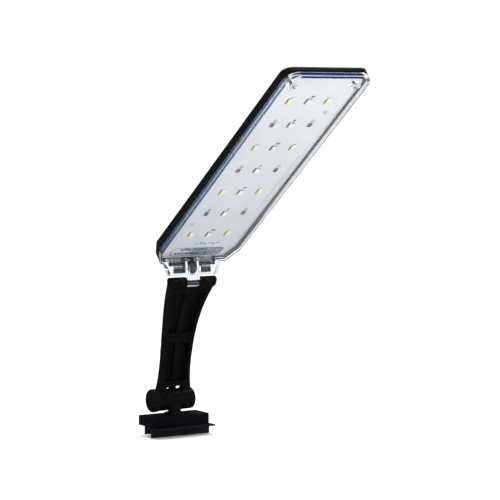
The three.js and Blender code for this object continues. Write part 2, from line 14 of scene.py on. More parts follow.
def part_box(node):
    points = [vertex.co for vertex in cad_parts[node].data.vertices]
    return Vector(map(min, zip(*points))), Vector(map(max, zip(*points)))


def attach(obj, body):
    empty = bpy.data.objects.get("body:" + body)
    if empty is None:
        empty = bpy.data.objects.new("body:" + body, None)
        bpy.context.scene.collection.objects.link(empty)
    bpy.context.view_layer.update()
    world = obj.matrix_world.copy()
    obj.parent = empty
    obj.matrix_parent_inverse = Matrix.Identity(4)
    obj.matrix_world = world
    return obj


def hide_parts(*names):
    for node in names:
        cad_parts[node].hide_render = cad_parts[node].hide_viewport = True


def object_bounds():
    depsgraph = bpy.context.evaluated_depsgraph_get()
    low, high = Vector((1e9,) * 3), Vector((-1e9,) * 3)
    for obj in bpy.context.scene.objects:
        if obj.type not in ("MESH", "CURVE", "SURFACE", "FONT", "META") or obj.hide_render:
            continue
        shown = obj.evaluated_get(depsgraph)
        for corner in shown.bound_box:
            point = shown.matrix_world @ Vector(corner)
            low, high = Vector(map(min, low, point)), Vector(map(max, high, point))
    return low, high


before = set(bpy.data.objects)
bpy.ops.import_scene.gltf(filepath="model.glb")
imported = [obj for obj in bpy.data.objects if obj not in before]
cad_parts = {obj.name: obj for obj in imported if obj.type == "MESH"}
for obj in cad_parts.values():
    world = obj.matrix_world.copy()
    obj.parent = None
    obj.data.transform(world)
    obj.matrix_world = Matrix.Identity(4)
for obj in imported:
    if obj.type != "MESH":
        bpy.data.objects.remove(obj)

CAD_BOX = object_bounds()
MM = 0.001

# ---- camera

VIEW_TARGET = Vector((0.0457, -0.0159, 0.1129))
VIEW_BACK = Vector((-0.5467, -0.8345, 0.0687))
VIEW_DISTANCE = 1.3186
LENS = 147.15


def make_camera():
    data = bpy.data.cameras.new("camera")
    data.lens = LENS
    data.clip_end = 100
    camera = bpy.data.objects.new("camera", data)
    camera.location = VIEW_TARGET + VIEW_BACK.normalized() * VIEW_DISTANCE
    camera.rotation_mode = "QUATERNION"
    camera.rotation_quaternion = VIEW_BACK.to_track_quat("Z", "Y")
    bpy.context.scene.collection.objects.link(camera)
    bpy.context.scene.camera = camera


# ---- places taken from the frame


def middle(node):
    low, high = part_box(node)
    return (low + high) / 2


def head_matrix():
    """The head's frame, from the middle column of LEDs, which stand on the board."""
    first = middle("clear_led_1")
    along = (middle("clear_led_7") - first).normalized()
    across = Vector((1, 0, 0))
    out = across.cross(along)
    turn = Matrix((across, along, out)).transposed().to_4x4()
    origin = first - out * (LED_MIDDLE * MM)
    return Matrix.Translation(origin) @ turn @ Matrix.Scale(MM, 4)


# ---- sizes, in millimetres

HEAD_HALF = 29.6
HEAD_FAR = 163.0
HEAD_SHOULDER = -15.2
HEAD_NEAR_HALF = 24.2
HEAD_NEAR = -27.9
HEAD_CORNERS = [
    (HEAD_NEAR_HALF, HEAD_NEAR), (HEAD_HALF, HEAD_SHOULDER), (HEAD_HALF, HEAD_FAR),
    (-HEAD_HALF, HEAD_FAR), (-HEAD_HALF, HEAD_SHOULDER), (-HEAD_NEAR_HALF, HEAD_NEAR),
]
HEAD_RADII = [1.6, 2.6, 8.2, 8.2, 2.6, 1.6]

RIM = 0.35
SHELL_NEAR = 5.9
SHELL_FAR = 5.2
SHELL_WALL = 1.8
SHELL_FLOOR = 1.5
ROUND_OFF = 6.0
APRON_BITE = 0.25
COVER_TOP = 3.5
COVER_WALL = 1.5

BOARD_TOP = -1.0
BOARD_THICKNESS = 1.6
BOARD_INSET = 2.05
BOARD_FAR = 156.95

LED_COLUMN = 13.4
LED_ROW = 22.6
LED_ROWS = 7
LED_SIZE = (3.0, 5.7, 0.9)
RESISTOR_SIZE = (1.8, 4.2, 0.6)

COVER_SCREWS = [(-22.0, 152.6), (22.0, 152.6)]
BOARD_SCREWS = {"near": (-17.7, 11.0), "far": (18.0, 124.5)}
GROMMET_Y = -8.0

FOOT_HALF = 21.5
FOOT_BACK = 6.2
KNOB_RADIUS = 7.5
POST_Y = -3.2
SLOT_Y = -6.15
CLIP_SCREW_X = 14.0
CLIP_CEILING = -17.0
CLIP_TOP = -15.85
FOOT_FRONT = -10.8
FOOT_UNDER = -15.8
FOOT_TOP = -9.3
COVER_SCREW_SEAT = -3.88
# how far in from the cover's edges its walls get painted reflection and shade
PAINTED_WALL_BAND = 1.9

BOLT_HOLE = 2.15
PIN_HOLE = 1.52
BARREL_RADIUS = 7.0
BARREL_INNER = 4.92
BARREL_OUTER = 12.3
ROOM_RADIUS = 7.4
ROOM_TOP = 4
NECK_HALF_DEPTH = 3.2
APRON_GAP = 0.15
CHIP_LIFT = 0.05
LED_HEIGHT_SHARE = 0.62  # of the height that LED_SIZE gives
LED_MIDDLE = BOARD_TOP + CHIP_LIFT + LED_SIZE[2] / 2

PIN_Z = 77.4
ARM_LEAN = 0.16
ARM_CURL = 12.5
ARM_WAIST = 10.4
ARM_FLARE = 6.0
ARM_FLARE_START = 24.0
ARM_SKIRT = 3.0
ARM_SKIRT_LIMIT = 1.8
ARM_SKIRT_TOP = 22.0
WINDOW_TOP = 8.8
ARM_HALF_DEPTH = 2.7


def arm_centre(z):
    return -ARM_LEAN * z - ARM_CURL * (z / PIN_Z) ** 4


def arm_slope(z):
    return -ARM_LEAN - (4 * ARM_CURL / PIN_Z) * (z / PIN_Z) ** 3


def arm_half_width(z):
    rise = max(0.0, z - ARM_FLARE_START) / (PIN_Z - ARM_FLARE_START)
    drop = max(0.0, ARM_SKIRT_TOP - z) / ARM_SKIRT_TOP
    return ARM_WAIST + ARM_FLARE * rise**2 + min(ARM_SKIRT_LIMIT, ARM_SKIRT * drop**2)


PIN_Y = arm_centre(PIN_Z)

hinge_origin = middle("clamp_bolt")
HINGE = Matrix.Translation((0, hinge_origin.y, hinge_origin.z)) @ Matrix.Scale(MM, 4)
HEAD = head_matrix()
HINGE_TO_HEAD = HEAD.inverted() @ HINGE

# ---- outlines


def inset_corners(corners, distance):
    """The corners of a closed, counterclockwise outline, with every side moved in by distance."""
    moved = []
    for i, corner in enumerate(corners):
        here = Vector(corner)
        before = (here - Vector(corners[i - 1])).normalized()
        after = (Vector(corners[(i + 1) % len(corners)]) - here).normalized()
        normal_a = Vector((-before.y, before.x))
        normal_b = Vector((-after.y, after.x))
        moved.append(here + (normal_a + normal_b) * (distance / (1 + normal_a.dot(normal_b))))
    return moved


def rounded(corners, radii, steps=8):
    """A closed outline with each corner replaced by an arc of its own radius."""
    outline = []
    for i, corner in enumerate(corners):
        here = Vector(corner)
        to_last = (Vector(corners[i - 1]) - here).normalized()
        to_next = (Vector(corners[(i + 1) % len(corners)]) - here).normalized()
        half = to_last.angle(to_next) / 2
        radius = max(radii[i], 0.02)
        centre = here + (to_last + to_next).normalized() * (radius / math.sin(half))
        start = here + to_last * (radius / math.tan(half)) - centre
        end = here + to_next * (radius / math.tan(half)) - centre
        sweep = start.angle(end)
        for k in range(steps + 1):
            a = math.sin((1 - k / steps) * sweep) / math.sin(sweep)
            b = math.sin(k / steps * sweep) / math.sin(sweep)
            outline.append(centre + start * a + end * b)
    return outline


def inset_outline(corners, radii, steps=8):
    """A function of the inset that gives the rounded outline, always with as many points."""

    def outline(inset):
        return rounded(inset_corners(corners, inset), [r - inset for r in radii], steps)

    return outline


def box_corners(half_x, half_y, x=0.0, y=0.0):
    return [
        (x + half_x, y - half_y), (x + half_x, y + half_y),
        (x - half_x, y + half_y), (x - half_x, y - half_y),
    ]


def circle(segments=64, x=0.0, y=0.0):
    """A function of the radius that gives a round outline."""

    def outline(radius):
        turns = [2 * math.pi * k / segments for k in range(segments)]
        return [Vector((x + radius * math.cos(t), y + radius * math.sin(t))) for t in turns]

    return outline


head_outline = inset_outline(HEAD_CORNERS, HEAD_RADII, 10)

# ---- meshes


def link(name, mesh):
    piece = bpy.data.objects.new(name, mesh)
    bpy.context.scene.collection.objects.link(piece)
    return piece


def mesh_piece(name, points, faces, bands=None):
    mesh = bpy.data.meshes.new(name)
    mesh.from_pydata([tuple(p) for p in points], [], faces)
    if bands:
        mesh.polygons.foreach_set("material_index", bands)
    work = bmesh.new()
    work.from_mesh(mesh)
    bmesh.ops.recalc_face_normals(work, faces=work.faces)
    work.to_mesh(mesh)
    work.free()
    return link(name, mesh)


def stack(name, outline, levels, closed=False, bands=None):
    """A solid of stacked outlines. Each level is (what outline takes, height), and a height may be
    a function of x and y. It's capped at both ends, or joined end to end where closed. bands gives
    the material index of each stretch between levels, and then of the two caps."""
    points = []
    for value, height in levels:
        for p in outline(value):
            points.append((p.x, p.y, height(p.x, p.y) if callable(height) else height))
    size = len(outline(levels[0][0]))
    stretches = len(levels) if closed else len(levels) - 1
    faces = []
    indices = []
    for i in range(stretches):
        low = i * size
        high = (i + 1) % len(levels) * size
        for k in range(size):
            after = (k + 1) % size
            faces.append((low + k, low + after, high + after, high + k))
            indices.append(bands[i] if bands else 0)
    if not closed:
        faces.append(tuple(range(size)))
        faces.append(tuple(range(len(points) - size, len(points))))
        indices += list(bands[-2:]) if bands else [0, 0]
    return mesh_piece(name, points, faces, indices)


def quarter_turn(steps):
    return [math.pi / 2 * k / steps for k in range(steps + 1)]


def rounded_levels(low, high, edge, steps=4):
    """Levels of a plain slab whose two rims are rounded by edge."""
    lower = [(edge * (1 - math.sin(t)), low + edge * (1 - math.cos(t))) for t in quarter_turn(steps)]
    upper = [(inset, high - (height - low)) for inset, height in reversed(lower)]
    return lower + upper


def shaped(piece, matrix):
    piece.data.transform(matrix)
    return piece


def moved(piece, x, y, z=0.0):
    return shaped(piece, Matrix.Translation((x, y, z)))


def slab(name, corners, low, high):
    """A solid of one flat outline between two heights."""
    outline = [Vector(p) for p in corners]
    return stack(name, lambda _: outline, [(0, low), (0, high)])


def plain_box(name, x, y, z):
    piece = stack(name, inset_outline(box_corners((x[1] - x[0]) / 2, (y[1] - y[0]) / 2), [0.02] * 4, 1),
                  [(0, z[0]), (0, z[1])])
    return moved(piece, (x[0] + x[1]) / 2, (y[0] + y[1]) / 2)


ALONG_X = Matrix(((0, 0, 1, 0), (1, 0, 0, 0), (0, 1, 0, 0), (0, 0, 0, 1)))
ALONG_Y = Matrix(((1, 0, 0, 0), (0, 0, -1, 0), (0, 1, 0, 0), (0, 0, 0, 1)))


def rod_z(name, radius, low, high, x=0.0, y=0.0, segments=32):
    return stack(name, circle(segments, x, y), [(radius, low), (radius, high)])


def rod_x(name, radius, low, high, y=0.0, z=0.0, segments=64):
    return shaped(rod_z(name, radius, low, high, y, z, segments), ALONG_X)


def rounded_disc(name, radius, levels, y=0.0):
    return stack(name, lambda inset: circle(72, 0, y)(radius - inset), levels)


def settle(piece):
    """Bakes a piece's modifiers into its mesh."""
    bpy.context.view_layer.update()
    graph = bpy.context.evaluated_depsgraph_get()
    mesh = bpy.data.meshes.new_from_object(piece.evaluated_get(graph), depsgraph=graph)
    piece.modifiers.clear()
    piece.data = mesh
    return piece


def combine(piece, tool, operation):
    modifier = piece.modifiers.new("combine", "BOOLEAN")
    modifier.operation = operation
    modifier.solver = "EXACT"
    modifier.object = tool
    settle(piece)
    bpy.data.objects.remove(tool)
    return piece


def cut(piece, *tools):
    for tool in tools:
        combine(piece, tool, "DIFFERENCE")
    return piece


def join(piece, *others):
    for other in others:
        combine(piece, other, "UNION")
    return piece


def soften(piece, width, segments):
    """Rounds a piece's sharp edges."""
    modifier = piece.modifiers.new("soften", "BEVEL")
    modifier.width = width
    modifier.segments = segments
    modifier.limit_method = "ANGLE"
    modifier.angle_limit = math.radians(35)
    modifier.miter_outer = "MITER_ARC"
    return settle(piece)


def melt(piece, voxel, rounds=6, keep=1.0):
    """Rebuilds a joined shape as one skin with small fillets, as a moulding has."""
    remesh = piece.modifiers.new("skin", "REMESH")
    remesh.mode = "VOXEL"
    remesh.voxel_size = voxel
    smooth = piece.modifiers.new("smooth", "SMOOTH")
    smooth.factor = 0.5
    smooth.iterations = rounds
    if keep < 1:
        thin = piece.modifiers.new("thin", "DECIMATE")
        thin.ratio = keep
    return settle(piece)


def shade(piece, angle=30, weighted=True):
    piece.data.shade_smooth()
    piece.data.set_sharp_from_angle(angle=math.radians(angle))
    if weighted:
        modifier = piece.modifiers.new("normals", "WEIGHTED_NORMAL")
        modifier.keep_sharp = True
        settle(piece)
    return piece


def placed(piece, body, slot, finishes, *nodes):
    """Carries a finished piece out of its local frame and hands it to the row frame. finishes names
    its materials, in the order of the faces' material indices, which are kept."""
    piece.data.transform(HEAD if body == "head" else HINGE)
    indices = [0] * len(piece.data.polygons)
    piece.data.polygons.foreach_get("material_index", indices)
    piece.data.materials.clear()
    names = finishes.split()
    for name in names:
        piece.data.materials.append(MATERIALS[name])
    piece.data.polygons.foreach_set("material_index", [min(i, len(names) - 1) for i in indices])
    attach(piece, body)
    if nodes:
        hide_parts(*nodes)
    return piece


# ---- materials


class Shader:
    """A new material with one Principled node, and short ways to add nodes to it."""

    def __init__(self, name, color, roughness, metallic=0.0):
        self.material = bpy.data.materials.new(name)
        self.material.use_nodes = True
        self.tree = self.material.node_tree
        self.main = next(n for n in self.tree.nodes if n.type == "BSDF_PRINCIPLED")
        self.place = self.add("ShaderNodeTexCoord").outputs["Object"]
        self.set("Base Color", (*color, 1))
        self.set("Roughness", roughness)
        self.set("Metallic", metallic)

    def add(self, kind, **settings):
        node = self.tree.nodes.new(kind)
        for key, value in settings.items():
            setattr(node, key, value)
        return node

    def set(self, socket, value):
        self.main.inputs[socket].default_value = value

    def feed(self, socket, source):
        self.link(source, self.main.inputs[socket])

    def noise(self, scale, detail=3.0, stretch=None):
        node = self.add("ShaderNodeTexNoise")
        node.inputs["Scale"].default_value = scale
        node.inputs["Detail"].default_value = detail
        source = self.place
        if stretch:
            mapping = self.add("ShaderNodeMapping")
            mapping.inputs["Scale"].default_value = stretch
            self.link(source, mapping.inputs["Vector"])
            source = mapping.outputs["Vector"]
        self.link(source, node.inputs["Vector"])
        return node.outputs["Fac"]

    def span(self, source, low, high, to_low, to_high):
        node = self.add("ShaderNodeMapRange")
        for name, value in (("From Min", low), ("From Max", high), ("To Min", to_low), ("To Max", to_high)):
            node.inputs[name].default_value = value
        self.link(source, node.inputs["Value"])
        return node.outputs["Result"]

    def ramp(self, source, *stops):
        node = self.add("ShaderNodeValToRGB")
        while len(node.color_ramp.elements) < len(stops):
            node.color_ramp.elements.new(0.5)
        for element, (position, color) in zip(node.color_ramp.elements, stops):
            element.position = position
            element.color = (*color, 1)
        self.link(source, node.inputs["Fac"])
        return node.outputs["Color"]

    def blend(self, factor, first, second):
        node = self.add("ShaderNodeMix", data_type="RGBA")
        for socket, value in ((node.inputs[0], factor), (node.inputs[6], first), (node.inputs[7], second)):
            if isinstance(value, bpy.types.NodeSocket):
                self.link(value, socket)
            else:
                socket.default_value = value if socket == node.inputs[0] else (*value, 1)
        return node.outputs[2]

    def bump(self, height, strength, distance):
        node = self.add("ShaderNodeBump")
        node.inputs["Strength"].default_value = strength
        node.inputs["Distance"].default_value = distance
        self.link(height, node.inputs["Height"])
        self.feed("Normal", node.outputs["Normal"])

    def link(self, source, socket):
        self.tree.links.new(source, socket)

    def height(self, low, high, to_high):
        """How far up a point stands at rest between two heights, from 0 to to_high."""
        node = self.add("ShaderNodeSeparateXYZ")
        self.link(self.place, node.inputs["Vector"])
        return self.span(node.outputs["Z"], low, high, 0.0, to_high)

    def total(self, first, second):
        node = self.add("ShaderNodeMath", operation="ADD")
        self.link(first, node.inputs[0])
        self.link(second, node.inputs[1])
        return node.outputs[0]


def moulded_plastic(name, dark, light, roughness, grain, relief, specular):
    """Black moulded plastic: cloudy tone, uneven gloss, fine mould grain and paler edges, part wear and part
    painted highlight.
    """
    shader = Shader(name, dark, roughness)
    shader.set("Specular IOR Level", specular)
    clouds = shader.noise(70, 4)
    tone = shader.ramp(clouds, (0.35, dark), (0.75, light))
    dust = shader.span(shader.noise(1500, 2), 0.62, 0.75, 0.0, 0.35)
    dusty = shader.blend(dust, tone, tuple(2.2 * c for c in light))
    # paler edges: partly rubbing wear, partly a painted highlight where edges catch the light
    edge = tuple(4.5 * c + 0.004 for c in light)
    pointiness = shader.add("ShaderNodeNewGeometry").outputs["Pointiness"]
    wear_and_highlight = shader.blend(shader.span(pointiness, 0.52, 0.62, 0, 0.3), dusty, edge)
    shader.feed("Base Color", wear_and_highlight)
    gloss = shader.noise(320, 5)
    shader.feed("Roughness", shader.span(gloss, 0.3, 0.7, roughness - 0.07, roughness + 0.09))
    shader.bump(shader.noise(grain, 3), relief, 0.00003)
    return shader.material


CLEAR = (0.965, 0.975, 0.985)
NECK_TINT = (0.70, 0.76, 0.82)
PAINTED_LIGHT_HEIGHTS = (0.12, 0.23)  # metres, at rest: where painted light and shade that change along the head start and end


def clear_plastic(name, near_tint_and_painted_light=CLEAR, far_tint_and_painted_light=CLEAR, heights=PAINTED_LIGHT_HEIGHTS, index=1.47):
    """Clear acrylic that lets lamps through, with faint moulding ripples. Its colour may change from
    the near end of the head to the far end, between two heights; the cover's walls use this for painted
    reflection and shade."""
    shader = Shader(name, near_tint_and_painted_light, 0.03)
    shader.set("Transmission Weight", 1.0)
    shader.set("IOR", index)
    if near_tint_and_painted_light != far_tint_and_painted_light:
        share = shader.height(*heights, 1.0)
        shader.feed("Base Color", shader.ramp(share, (0.0, near_tint_and_painted_light), (1.0, far_tint_and_painted_light)))
    haze = shader.noise(140, 4)
    shader.feed("Roughness", shader.span(haze, 0.35, 0.75, 0.015, 0.06))
    shader.bump(shader.noise(45, 2), 0.08, 0.0002)
    path = shader.add("ShaderNodeLightPath")
    through = shader.add("ShaderNodeBsdfTransparent")
    through.inputs["Color"].default_value = (0.93, 0.95, 0.97, 1)
    mix = shader.add("ShaderNodeMixShader")
    output = next(n for n in shader.tree.nodes if n.type == "OUTPUT_MATERIAL")
    shader.link(path.outputs["Is Shadow Ray"], mix.inputs["Fac"])
    shader.link(shader.main.outputs["BSDF"], mix.inputs[1])
    shader.link(through.outputs["BSDF"], mix.inputs[2])
    shader.link(mix.outputs["Shader"], output.inputs["Surface"])
    return shader.material


def solder_mask():
    """White board: cloudy blue-grey lacquer over the weave of the glass fibre. Its tone is painted darker
    at the near end of the head and paler at the far end, as painted shade and light along the head."""
    shader = Shader("solder_mask", (0.86, 0.87, 0.885), 0.38)
    clouds = shader.span(shader.noise(28, 3), 0.3, 0.7, 0.0, 0.2)
    # painted light and shade: the tone grows paler from the near end of the head to the far end, on top of
    # the random clouds
    painted_light_and_clouds = shader.total(shader.height(*PAINTED_LIGHT_HEIGHTS, 0.8), clouds)
    tone = shader.ramp(painted_light_and_clouds, (0.0, (0.545, 0.57, 0.59)), (1.0, (0.81, 0.815, 0.82)))
    specks = shader.span(shader.noise(2600, 2), 0.68, 0.78, 0.0, 0.25)
    shader.feed("Base Color", shader.blend(specks, tone, (0.62, 0.62, 0.64)))
    shader.feed("Roughness", shader.span(shader.noise(400, 4), 0.3, 0.7, 0.3, 0.46))
    weave = shader.add("ShaderNodeTexChecker")
    weave.inputs["Scale"].default_value = 2400
    shader.link(shader.place, weave.inputs["Vector"])
    shader.bump(weave.outputs["Fac"], 0.12, 0.00002)
    shader.set("Coat Weight", 0.25)
    shader.set("Coat Roughness", 0.2)
    return shader.material


def ink(name, color, patchy):
    """Printed ink, a little uneven where the screen laid it thin."""
    shader = Shader(name, color, 0.55)
    thin = shader.span(shader.noise(1800, 4), 0.5, 0.7, 0.0, patchy)
    shader.feed("Base Color", shader.blend(thin, color, (0.55, 0.58, 0.62)))
    shader.bump(shader.noise(3000, 2), 0.1, 0.00002)
    return shader.material


def bright_metal(name, color, roughness):
    """Metal with fine scratches and a slightly uneven polish."""
    shader = Shader(name, color, roughness, 1.0)
    scratches = shader.noise(900, 4, (1.0, 1.0, 0.12))
    shader.feed("Roughness", shader.span(scratches, 0.3, 0.7, roughness - 0.08, roughness + 0.12))
    stain = shader.noise(420, 3)
    shader.feed("Base Color", shader.ramp(stain, (0.3, tuple(0.8 * c for c in color)), (0.7, color)))
    shader.bump(scratches, 0.12, 0.00002)
    return shader.material


def resin(name, color, roughness):
    """Small moulded parts: nearly plain resin with a faint grain."""
    shader = Shader(name, color, roughness)
    grain = shader.noise(1800, 3)
    shader.feed("Base Color", shader.ramp(grain, (0.3, tuple(0.88 * c for c in color)), (0.7, color)))
    shader.feed("Roughness", shader.span(grain, 0.3, 0.7, roughness - 0.05, roughness + 0.08))
    shader.bump(grain, 0.1, 0.00002)
    return shader.material


def lens_resin(name, near_color, far_color, low, high):
    """Silicone over an LED's chip. Its colour changes along the package, from low to high; the far end's
    colour is painted reflection on the white LEDs and painted shade on the clear ones.
    """
    shader = Shader(name, near_color, 0.22)
    source = shader.add("ShaderNodeAttribute", attribute_name="along").outputs["Fac"]
    wobble = shader.span(shader.noise(1400, 3), 0.3, 0.7, -0.08, 0.08)
    shader.feed("Base Color", shader.ramp(shader.total(source, wobble), (low, near_color), (high, far_color)))
    shader.bump(shader.noise(2500, 2), 0.12, 0.00002)
    shader.set("Coat Weight", 0.15)
    shader.set("Coat Roughness", 0.1)
    return shader.material


MATERIALS = {
    "satin": moulded_plastic(
        "satin_black", (0.0022, 0.0022, 0.0026), (0.0045, 0.0045, 0.005), 0.34, 2600, 0.25, 0.2),
    "matt": moulded_plastic(
        "matt_black", (0.0025, 0.0025, 0.0035), (0.0045, 0.0044, 0.006), 0.45, 1900, 0.5, 0.05),
    "gloss": moulded_plastic(
        "gloss_black", (0.0025, 0.0025, 0.003), (0.005, 0.005, 0.006), 0.3, 900, 0.08, 0.35),
    "shell": moulded_plastic(
        "shell_black", (0.003, 0.0028, 0.0026), (0.006, 0.0056, 0.005), 0.32, 1200, 0.1, 0.3),
    "clear": clear_plastic("clear_plastic"),
    "clear_neck": clear_plastic("clear_neck", NECK_TINT, NECK_TINT, index=1.3),
    # Painted reflection and shade on the cover's walls: these darker clear colours stand in for what the
    # walls reflect and for the shade next to the shell and the board.
    "clear_left": clear_plastic("clear_wall_left_painted_reflection", (0.10, 0.18, 0.33), (0.26, 0.34, 0.48)),
    "clear_far": clear_plastic("clear_wall_far_painted_reflection", (0.002, 0.01, 0.10), (0.003, 0.012, 0.11)),
    "clear_seam": clear_plastic("clear_seam", (0.0004, 0.001, 0.003), (0.001, 0.002, 0.004)),
    "clear_right": clear_plastic("clear_wall_right_painted_shade", (0, 0, 0), (0.30, 0.29, 0.33), (0.136, 0.165)),
    "board": solder_mask(),
    # board ink: real print, and also the painted shade lines and marks beside the chips
    "ink": ink("board_ink_and_painted_shade", (0.006, 0.007, 0.009), 0.08),
    "label": ink("label_ink", (0.22, 0.26, 0.30), 0.35),
    "tin": bright_metal("tinned_copper", (0.72, 0.73, 0.74), 0.3),
    "steel": bright_metal("steel", (0.62, 0.63, 0.65), 0.28),
    "dark_steel": bright_metal("blackened_steel", (0.10, 0.10, 0.11), 0.38),
    "rubber": resin("rubber", (0.018, 0.018, 0.019), 0.7),
    "nylon": resin("nylon", (0.62, 0.62, 0.58), 0.42),
    "package": resin("led_package", (0.95, 0.95, 0.93), 0.5),
    "lead": bright_metal("led_lead", (0.55, 0.55, 0.56), 0.35),
    # phosphor: deep yellow near, paled toward the far end by a painted reflection; clear_lens: white near,
    # darkened toward the far end by painted shade
    "phosphor": lens_resin("phosphor", (0.86, 0.83, 0.16), (0.95, 0.95, 0.60), 0.3, 1.0),
    "clear_lens": lens_resin("clear_lens", (0.96, 0.96, 0.93), (0.22, 0.22, 0.21), 0.72, 0.86),
    "glaze": resin("resistor_glaze", (0.004, 0.004, 0.005), 0.5),
    "ceramic": resin("resistor_ceramic", (0.75, 0.75, 0.73), 0.5),
}

# ---- foot, clip and swivel


def foot_block():
    section = [
        (FOOT_FRONT, FOOT_UNDER), (FOOT_BACK, FOOT_UNDER), (FOOT_BACK, FOOT_TOP), (FOOT_FRONT, FOOT_TOP),
    ]
    piece = shaped(slab("foot_bar", section, -FOOT_HALF, FOOT_HALF), ALONG_X)
    soften(piece, 0.55, 4)
    cut(piece,
        rod_z("bore", 4.9, -20, 0, 0, POST_Y, 64),
        rod_z("recess", 5.2, -20, -12.6, 0, POST_Y, 64))
    return placed(shade(piece), "foot", "matt_black", "matt", "foot_block")


def panel_clip():
    section = [
        (-18.3, -16.8), (FOOT_FRONT, CLIP_CEILING), (FOOT_FRONT, -22.2), (-9.4, -22.2),
        (-9.4, CLIP_CEILING), (-2.9, CLIP_CEILING), (-2.9, -20.8), (-1.5, -20.8),
        (-1.5, CLIP_TOP), (-18.3, CLIP_TOP),
    ]
    piece = shaped(slab("panel_grip", section, -FOOT_HALF, FOOT_HALF), ALONG_X)
    tongue = plain_box("tongue", (-7, 7), (-3.2, 2.6), (CLIP_CEILING, CLIP_TOP))
    join(piece, tongue)
    soften(piece, 0.25, 3)
    for side in (-1, 1):
        x = side * CLIP_SCREW_X
        sink = stack("sink", circle(32, x, SLOT_Y), [(2.3, -20), (2.1, CLIP_CEILING + 0.6)])
        cut(piece, rod_z("hole", 1.1, -20, -10, x, SLOT_Y), sink)
    return placed(shade(piece), "foot", "matt_black", "matt", "panel_clip")


def screw(name, head_radius, head_height, shank_radius, shank_length):
    """A pan head screw with a crossed recess, its head up from z = 0 and its shank below."""
    edge = head_height * 0.75
    levels = [(shank_radius * 0.4, -shank_length), (shank_radius, -shank_length + shank_radius)]
    pitch = shank_radius * 0.55
    height = -shank_length + shank_radius
    while height + pitch < -0.3 * pitch:
        levels += [(shank_radius, height + 0.2 * pitch), (shank_radius * 0.78, height + 0.55 * pitch)]
        height += pitch
    levels += [(shank_radius, -0.02), (head_radius, 0.0), (head_radius, head_height - edge)]
    levels += [(head_radius - edge * 0.9 * (1 - math.cos(t)), head_height - edge + edge * math.sin(t))
               for t in quarter_turn(5)[1:]]
    piece = stack(name, circle(40), levels)
    arm_length = head_radius * 0.62
    arm_width = head_radius * 0.15
    for turn in (0, math.pi / 2):
        slot = stack("slot", inset_outline(box_corners(arm_length, arm_width), [0.02] * 4, 1),
                     [(arm_width * 0.5, head_height * 0.35), (0, head_height * 0.75), (0, head_height + 1)])
        shaped(slot, Matrix.Rotation(turn + 0.4, 4, "Z"))
        cut(piece, slot)
    return shade(piece)


TURNED_OVER = Matrix.Rotation(math.pi, 4, "X")


def clip_screws():
    for side, name in ((-1, "left"), (1, "right")):
        piece = screw(f"clip_screw_{name}_cross", 1.9, 0.5, 0.95, 3.2)
        seat = Matrix.Translation((side * CLIP_SCREW_X, SLOT_Y, CLIP_CEILING + 0.55))
        placed(shaped(piece, seat @ TURNED_OVER), "foot", "steel", "steel", f"clip_screw_{name}")


def swivel_post():
    knuckle = shaped(rounded_disc("hinge_post", BARREL_RADIUS, rounded_levels(-4.3, 4.3, 0.4)), ALONG_X)
    join(knuckle,
         rod_z("stem", 4.1, -9.25, -3.0, 0, POST_Y, 64),
         rounded_disc("collar", 6.8, rounded_levels(-9.25, -8.0, 0.35), POST_Y),
         rod_z("spigot", 3.6, -12.65, -8.5, 0, POST_Y, 48))
    cut(knuckle,
        rod_x("bolt_hole", BOLT_HOLE, -9, 9),
        rod_z("screw_hole", 1.6, -14, -5, 0, POST_Y))
    melt(knuckle, 0.2, 5)
    return placed(shade(knuckle, 60, False), "post", "gloss_black", "gloss", "swivel_post")


# ---- arm and its hinge


def beside_arm(z, offset):
    length = math.hypot(1, arm_slope(z))
    return Vector((arm_centre(z) + offset / length, z - offset * arm_slope(z) / length))


def arm_side_slab(name, low, high, front, back, half_width):
    heights = [low + (high - low) * k / 32 for k in range(33)]
    outline = [beside_arm(z, back) for z in heights] + [beside_arm(z, front) for z in reversed(heights)]
    return shaped(slab(name, outline, -half_width, half_width), ALONG_X)


def arm_front_slab(name, low, high, inset):
    heights = [low + (high - low) * k / 32 for k in range(33)]
    right = [(arm_half_width(z) - inset, z) for z in heights]
    left = [(inset - arm_half_width(z), z) for z in reversed(heights)]
    return shaped(slab(name, right + left, -40, 80), ALONG_Y)


